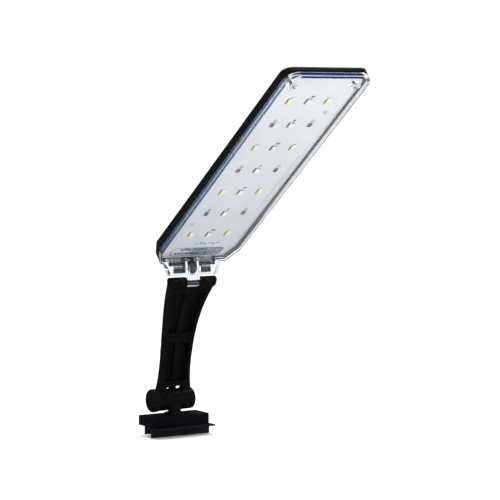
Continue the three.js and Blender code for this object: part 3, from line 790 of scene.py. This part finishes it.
def arm_channel():
    half = ARM_HALF_DEPTH
    piece = arm_side_slab("curved_arm", 1, PIN_Z, -half, half, 30)
    join(piece, rod_x("top_knuckle", 3.6, -30.5, 30.5, PIN_Y, PIN_Z))
    combine(piece, arm_front_slab("front", -2, PIN_Z + 4, 0), "INTERSECT")
    hollow = arm_side_slab("hollow", 12.6, 71.5, -half - 3, half - 1.6, 30)
    combine(hollow, arm_front_slab("hollow_front", 8, 75, 2.6), "INTERSECT")
    cut(piece, hollow)
    join(piece,
         arm_side_slab("bridge", 37.5, 44.5, -half + 0.5, half - 0.3, ARM_WAIST),
         arm_side_slab("rib", WINDOW_TOP, 71.5, -half + 1.9, half - 0.3, 1.9))
    low_turn = math.asin(ROOM_TOP / ROOM_RADIUS)
    turns = [low_turn + (math.pi - 2 * low_turn) * k / 32 for k in range(33)]
    room = [(-20, -20), (20, -20), (20, ROOM_TOP)]
    room += [(ROOM_RADIUS * math.cos(t), ROOM_RADIUS * math.sin(t)) for t in turns]
    room.append((-20, ROOM_TOP))
    cut(piece,
        shaped(slab("knuckle_room", room, -4.9, 4.9), ALONG_X),
        plain_box("window_left", (-6.2, -3.4), (-20, 20), (1.5, WINDOW_TOP)),
        plain_box("window_right", (0.6, 6.2), (-20, 20), (1.5, WINDOW_TOP)))
    join(piece,
         rod_x("barrel_left", BARREL_RADIUS, -BARREL_OUTER, -BARREL_INNER, segments=90),
         rod_x("barrel_right", BARREL_RADIUS, BARREL_INNER, BARREL_OUTER, segments=90))
    cut(piece,
        rod_x("bolt_hole", BOLT_HOLE, -30, 30),
        rod_x("nut_pocket", 4.0, 8.6, 30, segments=6),
        rod_x("pin_hole", PIN_HOLE, -30, 30, PIN_Y, PIN_Z),
        plain_box("notch", (-4.9, 4.9), (-60, 20), (74.5, 120)))
    melt(piece, 0.3, 5, 0.5)
    return placed(shade(piece, 70, False), "arm", "satin_black", "satin", "arm_channel")


def hinge_washers():
    for side, name in ((-1, "left"), (1, "right")):
        low, high = sorted((side * 4.35, side * 4.8))
        levels = [(2.15, low + 0.05), (2.2, low), (6.35, low), (6.4, low + 0.05),
                  (6.4, high - 0.05), (6.35, high), (2.2, high), (2.15, high - 0.05)]
        piece = shaped(stack(f"friction_washer_{name}", circle(72), levels, closed=True), ALONG_X)
        placed(shade(piece), "arm", "rubber", "rubber", f"hinge_washer_{name}")


def fluted(inset):
    """Outline of the knob's rim, with round flutes cut into it."""
    outline = []
    count = 18 * 12
    for k in range(count):
        turn = 2 * math.pi * k / count
        phase = (k % 12) / 12 * 2 - 1
        flute = max(0.0, 1 - (phase / 0.42) ** 2) ** 0.5 * 0.45
        radius = KNOB_RADIUS - inset - flute * max(0.0, 1 - inset / 0.9)
        outline.append(Vector((radius * math.cos(turn), radius * math.sin(turn))))
    return outline


def clamp_knob():
    face = -15.9
    levels = [
        (KNOB_RADIUS - 2.05, -14.8), (KNOB_RADIUS - 2.05, -12.5), (KNOB_RADIUS - 2.15, -12.4),
        (0.35, -12.4), (0.08, -12.5), (0.0, -12.7), (0.0, face + 0.8), (0.1, face + 0.5),
        (0.35, face + 0.2), (0.7, face + 0.05), (1.1, face), (2.0, face), (2.25, face + 0.04),
        (2.4, face + 0.2), (2.7, face + 0.38), (3.3, face + 0.43), (KNOB_RADIUS - 0.05, face + 0.3),
    ]
    piece = shaped(stack("clamp_knob_fluted", fluted, list(reversed(levels))), ALONG_X)
    return placed(shade(piece, 35), "knob", "satin_black", "satin", "clamp_knob")


def hinge_cap():
    levels = [(2.3, 12.9), (2.3, 12.4), (2.4, 12.35), (6.8, 12.35), (6.9, 12.45), (6.9, 13.3), (6.8, 13.65),
              (6.5, 13.95), (6.0, 14.15), (5.4, 14.25), (3.5, 14.3), (1.0, 14.3)]
    piece = shaped(stack("barrel_cap", circle(72), levels), ALONG_X)
    return placed(shade(piece, 35), "arm", "satin_black", "satin", "hinge_cap")


def tilt_pin():
    reach = arm_half_width(PIN_Z) - 0.6
    levels = [(1.0, -reach), (1.4, -reach + 0.35), (1.4, reach - 0.35), (1.0, reach)]
    piece = shaped(stack("tilt_pin_round", circle(48), levels), ALONG_X)
    moved(piece, 0, PIN_Y, PIN_Z)
    return placed(shade(piece), "arm", "steel", "dark_steel", "tilt_pin")


# ---- lamp head


def shell_depth(y):
    """How far the shell's floor lies behind the head's middle plane, by place along the head."""
    straight = HEAD_FAR - ROUND_OFF
    share = (y - HEAD_NEAR) / (straight - HEAD_NEAR)
    depth = SHELL_NEAR + (SHELL_FAR - SHELL_NEAR) * min(share, 1)
    if y > straight:
        rise = min((y - straight) / (ROUND_OFF + 1), 1)
        depth = 1 + (SHELL_FAR - 1) * math.sqrt(1 - rise * rise)
    return depth


def apron_parts(grow):
    """The shell's tongue and crossbars behind the neck, drawn in the HINGE frame, each wider by grow."""
    front = PIN_Y + 0.9 - grow
    back = PIN_Y + 3.2 + 2 * grow
    half = 3.4 + grow
    tongue = inset_outline([(half, 82.7 - grow), (half, 100), (-half, 100), (-half, 82.7 - grow)],
                           [half - 0.05, 0.02, 0.02, half - 0.05], 8)
    parts = [shaped(stack("tongue", tongue, [(0, -back), (0, -front)]), ALONG_Y)]
    for side in (-1, 1):
        for inner, outer, low, high, inset in ((5.0, 17.2, 87.2, 98, 0), (5.0, 13.8, 83.5, 86.6, 0),
                                               (5.1, 7.0, 84.2, 97, 0.05)):
            reach = sorted((side * (inner - grow), side * (outer + grow)))
            parts.append(plain_box("bar", reach, (front + inset, back - inset), (low - grow, high + grow)))
    return [shaped(part, HINGE_TO_HEAD) for part in parts]


def back_shell():
    edge = 0.9

    def outside(sine):
        return lambda x, y: -shell_depth(y) + edge * (1 - sine)

    def inside(x, y):
        return -shell_depth(y) + SHELL_FLOOR

    levels = [(12.0, outside(1)), (6.0, outside(1)), (3.5, outside(1))]
    levels += [(edge * (1 - math.cos(t)), outside(math.sin(t))) for t in reversed(quarter_turn(6))]
    levels += [(0.0, -RIM - 0.2), (0.06, -RIM - 0.06), (0.2, -RIM)]
    levels += [(SHELL_WALL - 0.15, -RIM), (SHELL_WALL, -RIM - 0.15)]
    levels += [(SHELL_WALL, inside), (6.0, inside), (12.0, inside)]
    piece = stack("black_shell", head_outline, levels)
    for x, y in [*COVER_SCREWS, *BOARD_SCREWS.values(), (-20.0, -8.0), (20.0, -8.0)]:
        join(piece, stack("post", circle(32, x, y), [(2.4, -shell_depth(y) + 1), (2.2, -2.75)]))
    for x, y in COVER_SCREWS:
        cut(piece,
            stack("sink", circle(48, x, y), [(3.2, -6), (2.4, -3.95), (2.4, -3.7)]),
            rod_z("hole", 1.25, -8, 0, x, y))
    cut(piece, rod_z("gland_hole", 2.6, -9, 0, 0, GROMMET_Y, 48))
    apron = apron_parts(0.0)
    comb = join(apron[0], *apron[1:])
    room = plain_box("room", (-40, 40), (-60, HEAD_NEAR + 0.9), (-SHELL_NEAR, -RIM))
    join(room, plain_box("bite", (-41, 41), (-61, HEAD_NEAR + APRON_BITE), (-2 * RIM, 30)))
    combine(comb, room, "INTERSECT")
    join(piece, comb)
    return placed(shade(piece, 32), "head", "satin_black", "shell", "back_shell")


COVER_FINISHES = "clear clear_left clear_far clear_right clear_seam clear_neck"


def paint_wall_light_and_shade(piece):
    """Paints reflection and shade into the cover's walls as darker colours: a painted reflection on the left
    wall's outside and on the far wall, the darkest painted shade next to the shell, and painted shade on the
    others where they face the board."""
    clear, left, far, right, seam, neck = range(len(COVER_FINISHES.split()))
    for face in piece.data.polygons:
        x, y, z = face.center
        faces_board = face.normal.x * x + face.normal.y * (y - HEAD_FAR / 2) < 0
        upright = abs(face.normal.z) < 0.3
        face.material_index = clear
        if y < HEAD_NEAR + 0.2:
            face.material_index = neck
        elif z < RIM:
            continue
        elif x < PAINTED_WALL_BAND - HEAD_HALF and not (upright and faces_board):
            face.material_index = seam if z < 1.5 and upright else left
        elif y > HEAD_FAR - PAINTED_WALL_BAND and abs(x) < 21:
            face.material_index = far if z > COVER_TOP - 0.1 or faces_board else left
        elif upright and faces_board and z < COVER_TOP - COVER_WALL + 0.1 and x > 4 - HEAD_HALF:
            face.material_index = right


def clear_cover():
    edge = 0.8
    ceiling = COVER_TOP - COVER_WALL
    levels = [(COVER_WALL + 0.5, ceiling), (COVER_WALL + 0.15, ceiling - 0.15), (COVER_WALL, ceiling - 0.5),
              (COVER_WALL, RIM), (0.1, RIM), (0.0, RIM + 0.1), (0.0, 0.7), (0.12, 0.8), (0.12, 0.9),
              (0.0, 1.0), (0.0, 1.7), (0.0, COVER_TOP - edge)]
    levels += [(edge * (1 - math.cos(t)), COVER_TOP - edge * (1 - math.sin(t))) for t in quarter_turn(5)[1:]]
    levels += [(COVER_WALL + 0.3, COVER_TOP)]
    piece = stack("clear_front", head_outline, levels)
    corners = [(17.2, 82), (19.8, 88.5), (23.2, 96), (-23.2, 96), (-19.8, 88.5), (-17.2, 82)]
    plate = inset_outline(corners, [1.5, 6, 0.7, 0.7, 6, 1.5])
    neck_levels = rounded_levels(-NECK_HALF_DEPTH, NECK_HALF_DEPTH, 0.6)
    neck = shaped(stack("neck", plate, [(inset, height - PIN_Y) for inset, height in neck_levels]), ALONG_Y)
    side = [(PIN_Y - 2.6, PIN_Z - 2.6), (PIN_Y + 2.6, PIN_Z - 2.6), (PIN_Y + 2.6, 83), (PIN_Y - 2.6, 83)]
    tab_outline = inset_outline(side, [2.55, 2.55, 0.5, 0.5])
    tab = shaped(stack("tab", tab_outline, rounded_levels(-4.4, 4.4, 0.4)), ALONG_X)
    join(neck, tab)
    for x in (-4.0, 4.0):
        cut(neck, plain_box("groove", (x - 0.3, x + 0.3), (PIN_Y - 4, PIN_Y - 2.2), (83.5, 95)))
    shaped(neck, HINGE_TO_HEAD)
    cut(neck,
        plain_box("shell_room", (-45, 45), (HEAD_NEAR - 0.4, 60), (-20, RIM)),
        stack("cavity", head_outline, [(COVER_WALL, -9), (COVER_WALL, ceiling - 0.3)]),
        plain_box("lit_face", (-45, 45), (HEAD_NEAR + 0.3, 60), (COVER_TOP - 0.3, 30)))
    join(piece, neck)
    apron = apron_parts(APRON_GAP)
    apron_room = join(apron[0], *apron[1:])
    reach = plain_box("reach", (-42, 42), (-62, HEAD_NEAR + APRON_BITE + APRON_GAP), (-20, 30))
    combine(apron_room, reach, "INTERSECT")
    cut(piece, apron_room)
    for x, y in COVER_SCREWS:
        levels = [(3.0, BOARD_TOP + 0.15), (3.1, 0.2), (3.1, COVER_TOP - edge)]
        join(piece, stack("boss", circle(48, x, y), levels))
        cut(piece, stack("pilot", circle(32, x, y), [(1.05, -2), (1.05, 1.2), (0.4, 1.45)]))
    cut(piece, shaped(rod_x("pin_hole", PIN_HOLE, -9, 9, PIN_Y, PIN_Z), HINGE_TO_HEAD))
    shade(piece)
    paint_wall_light_and_shade(piece)
    return placed(piece, "head", "clear_plastic", COVER_FINISHES, "clear_cover")


def seal_gasket():
    levels = [(0.45, -0.22), (0.35, -0.12), (0.35, 0.12), (0.45, 0.22),
              (1.5, 0.22), (1.6, 0.12), (1.6, -0.12), (1.5, -0.22)]
    piece = stack("seal_ring", head_outline, levels, closed=True)
    return placed(shade(piece, 40), "head", "rubber", "rubber", "seal_gasket")


def board_outline(inset):
    corners = inset_corners(HEAD_CORNERS, BOARD_INSET)
    for i in (2, 3):
        corners[i].y = BOARD_FAR
    return rounded(inset_corners(corners, inset), [r - inset for r in (1.0, 2.0, 4.0, 4.0, 2.0, 1.0)])


def led_board():
    levels = rounded_levels(BOARD_TOP - BOARD_THICKNESS, BOARD_TOP, 0.12, 2)
    piece = stack("white_board", board_outline, levels)
    for x, y in COVER_SCREWS:
        cut(piece, rod_z("hole", 1.4, -4, 0, x, y))
    for x, y in BOARD_SCREWS.values():
        cut(piece, rod_z("hole", 1.0, -4, 0, x, y))
    return placed(shade(piece), "head", "board", "board", "led_board")


def merged(name, parts):
    """One mesh out of several separate small ones."""
    work = bmesh.new()
    for part in parts:
        work.from_mesh(part.data)
        bpy.data.objects.remove(part)
    mesh = bpy.data.meshes.new(name)
    work.to_mesh(mesh)
    work.free()
    return link(name, mesh)


def flat_mark(half_x, half_y, x, y, height=0.02, radius=0.15, turn=0.0):
    """A thin raised mark on the board, with rounded corners."""
    outline = inset_outline(box_corners(half_x, half_y), [min(radius, half_x, half_y) * 0.95] * 4, 3)
    mark = stack("mark", outline, [(0, BOARD_TOP - 0.01), (0, BOARD_TOP + height)])
    return shaped(mark, Matrix.Translation((x, y, 0)) @ Matrix.Rotation(turn, 4, "Z"))


def ring_mark(half_x, half_y, line, x, y, radius, height=0.02):
    outline = inset_outline(box_corners(half_x, half_y, x, y), [radius] * 4, 6)
    low = BOARD_TOP - 0.01
    high = BOARD_TOP + height
    return stack("ring", outline, [(0, low), (0, high), (line, high), (line, low)], closed=True)


def chip_places():
    """Each place on the board as (node, kind, x, y)."""
    places = []
    for row in range(LED_ROWS):
        y = row * LED_ROW
        places.append((f"clear_led_{row + 1}", "clear", 0.0, y))
        for column, side in ((-1, "left"), (1, "right")):
            kind = "white" if row % 2 == 0 else "resistor"
            stem = "white_led" if kind == "white" else "resistor"
            places.append((f"{stem}_{row + 1}_{side}", kind, column * LED_COLUMN, y))
    return places


def board_solder():
    """Tinned pads under both ends of every chip."""
    pads = []
    for _, kind, x, y in chip_places():
        length = RESISTOR_SIZE[1] / 2 - 0.35 if kind == "resistor" else LED_SIZE[1] / 2
        half_x = 0.8 if kind == "resistor" else 1.25
        for end in (-1, 1):
            pads.append(flat_mark(half_x, 0.55, x, y + end * (length + 0.05), 0.04, 0.25))
    return placed(shade(merged("solder_pads", pads)), "head", "steel", "tin")


def board_tracks():
    """Copper tracks under the lacquer, which stand up a little and join the chips of each column."""
    tracks = []
    for column in (-1, 0, 1):
        x = column * LED_COLUMN
        for row in range(LED_ROWS - 1):
            y = (row + 0.5) * LED_ROW
            shift = 2.2 * (1 if row % 2 else -1)
            tracks.append(flat_mark(0.6, 4.6, x + shift, y, 0.03, 0.5))
            for end in (-1, 1):
                turn = -end * 0.42 * shift / 2.2
                tracks.append(flat_mark(0.6, 2.6, x + shift / 2, y + end * 5.7, 0.03, 0.5, turn))
    tracks.append(flat_mark(24.5, 0.8, 0, 147.6, 0.03, 0.7))
    for side in (-1, 1):
        tracks.append(flat_mark(0.8, 79, side * 24.6, 67, 0.03, 0.7))
    return placed(shade(merged("board_tracks", tracks)), "head", "board", "board")


def board_print_and_painted_shade():
    """Dark marks on the board: a line of painted shade beside each chip, a mark of painted shade past each
    clear LED, rings past the resistors, and print: dashes on the right and a panel by the neck.
    """
    marks = []
    for _, kind, x, y in chip_places():
        # Beside each chip's left side a dark line of painted shade, where the package side falls in shade;
        # the clear LEDs also get a mark of painted shade past their far end.
        if kind == "white":
            marks.append(flat_mark(0.36, 2.5, x - 1.8, y - 0.3))
        elif kind == "clear":
            marks.append(flat_mark(0.6, 2.5, x - 2.0, y - 0.5))
            marks.append(flat_mark(1.3, 0.6, x + 0.8, y + 4.0))
        else:
            marks.append(flat_mark(0.7, 2.0, x - 0.9, y - 0.4))
            marks.append(ring_mark(1.35, 1.2, 0.5, x + 0.5, y + 3.4, 0.7))
    marks += [flat_mark(0.2, 0.7 + 0.5 * (k * 7 % 3), 22.6, 26 + 4.2 * k) for k in range(14)]
    for k in range(6):
        marks.append(flat_mark(0.7 + 0.3 * (k * 5 % 3), 0.55, -4 + 3.1 * k, -11.4 + 0.9 * (k % 2)))
    for k in range(7):
        marks.append(flat_mark(0.95 + 0.3 * (k * 5 % 3), 1.05, -11.5 + 2.9 * k, -17.7 + 0.4 * (k % 2), 0.06))
        marks.append(flat_mark(0.8 + 0.4 * (k * 7 % 2), 0.85, -14.5 + 2.6 * k, -21.7, 0.06))
    marks += [flat_mark(0.55, 0.9, 10.6 + 2.5 * k, -17.0, 0.06) for k in range(4)]
    marks += [ring_mark(1.8, 1.8, 0.8, 8.0 + 4.3 * k, -20.9, 1.3, 0.06) for k in range(3)]
    marks.append(ring_mark(19.0, 4.4, 0.45, 0.2, -20.0, 3.6, 0.05))
    return placed(shade(merged("board_print_and_painted_shade", marks)), "head", "chip_black", "ink")


def board_label():
    piece = flat_mark(11.4, 3.9, 7.2, -20.0, 0.022, 2.9)
    piece.name = "board_label"
    return placed(shade(piece), "head", "board", "label")


def mark_along(piece, half):
    """Stores how far each point is along its chip, from 0 at the near end to 1 at the far end."""
    layer = piece.data.attributes.new("along", "FLOAT", "POINT")
    layer.data.foreach_set("value", [v.co.y / (2 * half) + 0.5 for v in piece.data.vertices])


def led(name, node, lens, x, y):
    """A surface-mount LED: moulded package, sloping cup filled with silicone, and two bent leads."""
    width, length, height = LED_SIZE
    half_x = width / 2 - 0.06
    half_y = length / 2 - 0.42
    bottom = BOARD_TOP + CHIP_LIFT
    top = bottom + LED_HEIGHT_SHARE * height
    outline = inset_outline(box_corners(half_x, half_y), [0.4] * 4, 5)
    levels = [(0.1, bottom), (0.0, bottom + 0.08), (0.0, bottom + 0.3), (0.04, top - 0.05), (0.08, top),
              (0.12, top), (0.15, top - 0.03), (0.2, top - 0.06), (0.5, top - 0.04), (0.8, top - 0.02),
              (1.1, top - 0.01)]
    package = 0
    filled = 1
    bands = [package] * 6 + [filled] * 4 + [package, filled]
    body = stack(name, outline, levels, bands=bands)
    parts = [body]
    for end in (-1, 1):
        lead = stack("lead", inset_outline(box_corners(1.05, 0.36), [0.1] * 4, 3),
                     [(0.04, bottom), (0, bottom + 0.04), (0, bottom + 0.2), (0.06, bottom + 0.25)],
                     bands=[2] * 5)
        parts.append(moved(lead, 0, end * (half_y + 0.05)))
    piece = merged(name, parts)
    mark_along(piece, half_y - 0.3)
    shade(piece)
    moved(piece, x, y)
    slot = "phosphor" if lens == "phosphor" else "clear_led"
    return placed(piece, "head", slot, f"package {lens} lead", node)


def resistor(name, node, x, y):
    """A chip resistor: pale ceramic, dark glaze on top and two tinned ends."""
    width, length, height = RESISTOR_SIZE
    bottom = BOARD_TOP + CHIP_LIFT
    top = bottom + height
    half_x = width / 2 - 0.04
    half_y = length / 2 - 0.03
    ceramic = stack(name, inset_outline(box_corners(half_x - 0.05, half_y - 0.3), [0.06] * 4, 2),
                    [(0.04, bottom + 0.03), (0, bottom + 0.07), (0, top - 0.14)], bands=[1] * 4)
    glaze = stack("glaze", inset_outline(box_corners(half_x - 0.01, half_y - 0.2), [0.12] * 4, 3),
                  [(0, top - 0.13), (0, top - 0.06), (0.06, top - 0.01), (0.14, top)], bands=[0] * 5)
    parts = [ceramic, glaze]
    for end in (-1, 1):
        cap = stack("cap", inset_outline(box_corners(half_x, 0.26), [0.08] * 4, 3),
                    [(0.06, bottom), (0, bottom + 0.06), (0, top - 0.25), (0.07, top - 0.18)], bands=[2] * 5)
        parts.append(moved(cap, 0, end * (half_y - 0.26)))
    piece = merged(name, parts)
    shade(piece)
    moved(piece, x, y)
    return placed(piece, "head", "chip_black", "glaze ceramic tin", node)


def board_chips():
    for node, kind, x, y in chip_places():
        if kind == "resistor":
            resistor(f"{node}_chip", node, x, y)
        else:
            led(f"{node}_chip", node, "phosphor" if kind == "white" else "clear_lens", x, y)


def head_screws():
    for end, (x, y) in BOARD_SCREWS.items():
        piece = screw(f"board_screw_{end}_cross", 1.5, 0.7, 0.65, 2.6)
        placed(moved(piece, x, y, BOARD_TOP + 0.1), "head", "steel", "tin", f"board_screw_{end}")
    for name, (x, y) in zip(("left", "right"), COVER_SCREWS):
        piece = screw(f"cover_screw_{name}_cross", 2.1, 0.62, 0.95, 4.7)
        shaped(piece, Matrix.Translation((x, y, COVER_SCREW_SEAT)) @ TURNED_OVER)
        placed(piece, "head", "steel", "dark_steel", f"cover_screw_{name}")


def lead_grommet():
    levels = [(1.4, -3.2), (1.5, -3.1), (2.4, -3.1), (2.5, -3.3), (2.5, -5.9), (3.4, -5.95), (3.6, -6.1),
              (3.6, -6.3), (3.4, -6.5), (3.0, -6.6), (1.8, -6.6), (1.5, -6.5), (1.4, -6.3)]
    piece = stack("lead_gland", circle(64, 0, GROMMET_Y), levels, closed=True)
    return placed(shade(piece, 35), "head", "rubber", "rubber", "lead_grommet")


# ---- CAD nodes that stay


def finish_kept_nodes():
    finishes = {
        "swivel_bush": "nylon", "swivel_washer": "steel", "swivel_screw": "steel", "clamp_nut": "steel",
        "clamp_bolt": "steel",
    }
    for node, finish in finishes.items():
        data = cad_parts[node].data
        data.materials.clear()
        data.materials.append(MATERIALS[finish])


# ---- floor and light

SURROUND_STRENGTH = 1.02
REFLECTED_STRENGTH = 0.07


def make_floor():
    size = 30.0
    height = CAD_BOX[0][2] - 0.0002
    floor = mesh_piece("floor", [(-size, -size, height), (size, -size, height), (size, size, height),
                                 (-size, size, height)], [(0, 1, 2, 3)])
    shader = Shader("floor_paper", (0.93, 0.93, 0.93), 0.9)
    tone = shader.noise(3, 3)
    shader.feed("Base Color", shader.ramp(tone, (0.3, (0.92, 0.92, 0.925)), (0.7, (0.95, 0.95, 0.95))))
    shader.bump(shader.noise(300, 3), 0.05, 0.0005)
    floor.data.materials.append(shader.material)
    floor.visible_glossy = False


def area_light(name, place, target, size, power):
    """A soft box that lights the scene but is not seen in reflections."""
    data = bpy.data.lights.new(name, "AREA")
    data.shape = "RECTANGLE"
    data.size, data.size_y = size
    data.energy = power
    light = bpy.data.objects.new(name, data)
    light.location = place
    light.rotation_mode = "QUATERNION"
    light.rotation_quaternion = (Vector(place) - Vector(target)).to_track_quat("Z", "Y")
    light.visible_glossy = False
    bpy.context.scene.collection.objects.link(light)


def make_light():
    """A white studio: an even surround, which reflections see much dimmer, three soft boxes and a
    wide overhead light. Rays that pass through clear plastic count as glossy too, so they are taken
    out of the share that sees the dimmer one."""
    world = bpy.data.worlds.new("studio")
    bpy.context.scene.world = world
    world.use_nodes = True
    tree = world.node_tree
    surround = next(n for n in tree.nodes if n.type == "BACKGROUND")
    surround.inputs["Color"].default_value = (1, 1, 1, 1)
    surround.inputs["Strength"].default_value = SURROUND_STRENGTH
    dim = tree.nodes.new("ShaderNodeBackground")
    dim.inputs["Color"].default_value = (0.9, 0.95, 1, 1)
    dim.inputs["Strength"].default_value = REFLECTED_STRENGTH
    path = tree.nodes.new("ShaderNodeLightPath")
    mix = tree.nodes.new("ShaderNodeMixShader")
    output = next(n for n in tree.nodes if n.type == "OUTPUT_WORLD")
    reflected = tree.nodes.new("ShaderNodeMath")
    reflected.operation = "SUBTRACT"
    reflected.use_clamp = True
    for source, socket in (
        (path.outputs["Is Glossy Ray"], reflected.inputs[0]),
        (path.outputs["Is Transmission Ray"], reflected.inputs[1]),
        (reflected.outputs[0], mix.inputs["Fac"]),
        (surround.outputs["Background"], mix.inputs[1]),
        (dim.outputs["Background"], mix.inputs[2]),
        (mix.outputs["Shader"], output.inputs["Surface"]),
    ):
        tree.links.new(source, socket)
    aim = (0, -0.05, 0.1)
    area_light("key", (0.5, -0.55, 0.12), (0.03, -0.18, 0.21), (0.25, 0.25), 1.7)
    area_light("left_strip", (-0.9, -0.1, 0.35), aim, (0.15, 0.7), 2.5)
    area_light("right_strip", (0.9, -0.2, 0.3), aim, (0.15, 0.7), 2.5)
    sun = bpy.data.lights.new("overhead", "SUN")
    sun.energy = 1.3
    sun.angle = math.radians(60)
    overhead = bpy.data.objects.new("overhead", sun)
    overhead.rotation_euler = (math.radians(-14), math.radians(10), 0)
    bpy.context.scene.collection.objects.link(overhead)
    bpy.context.scene.view_settings.view_transform = "Standard"


# ---- the scene

make_camera()
foot_block()
panel_clip()
clip_screws()
swivel_post()
arm_channel()
hinge_washers()
clamp_knob()
hinge_cap()
tilt_pin()
back_shell()
clear_cover()
seal_gasket()
led_board()
board_solder()
board_tracks()
board_print_and_painted_shade()
board_label()
board_chips()
head_screws()
lead_grommet()
finish_kept_nodes()
make_floor()
make_light()
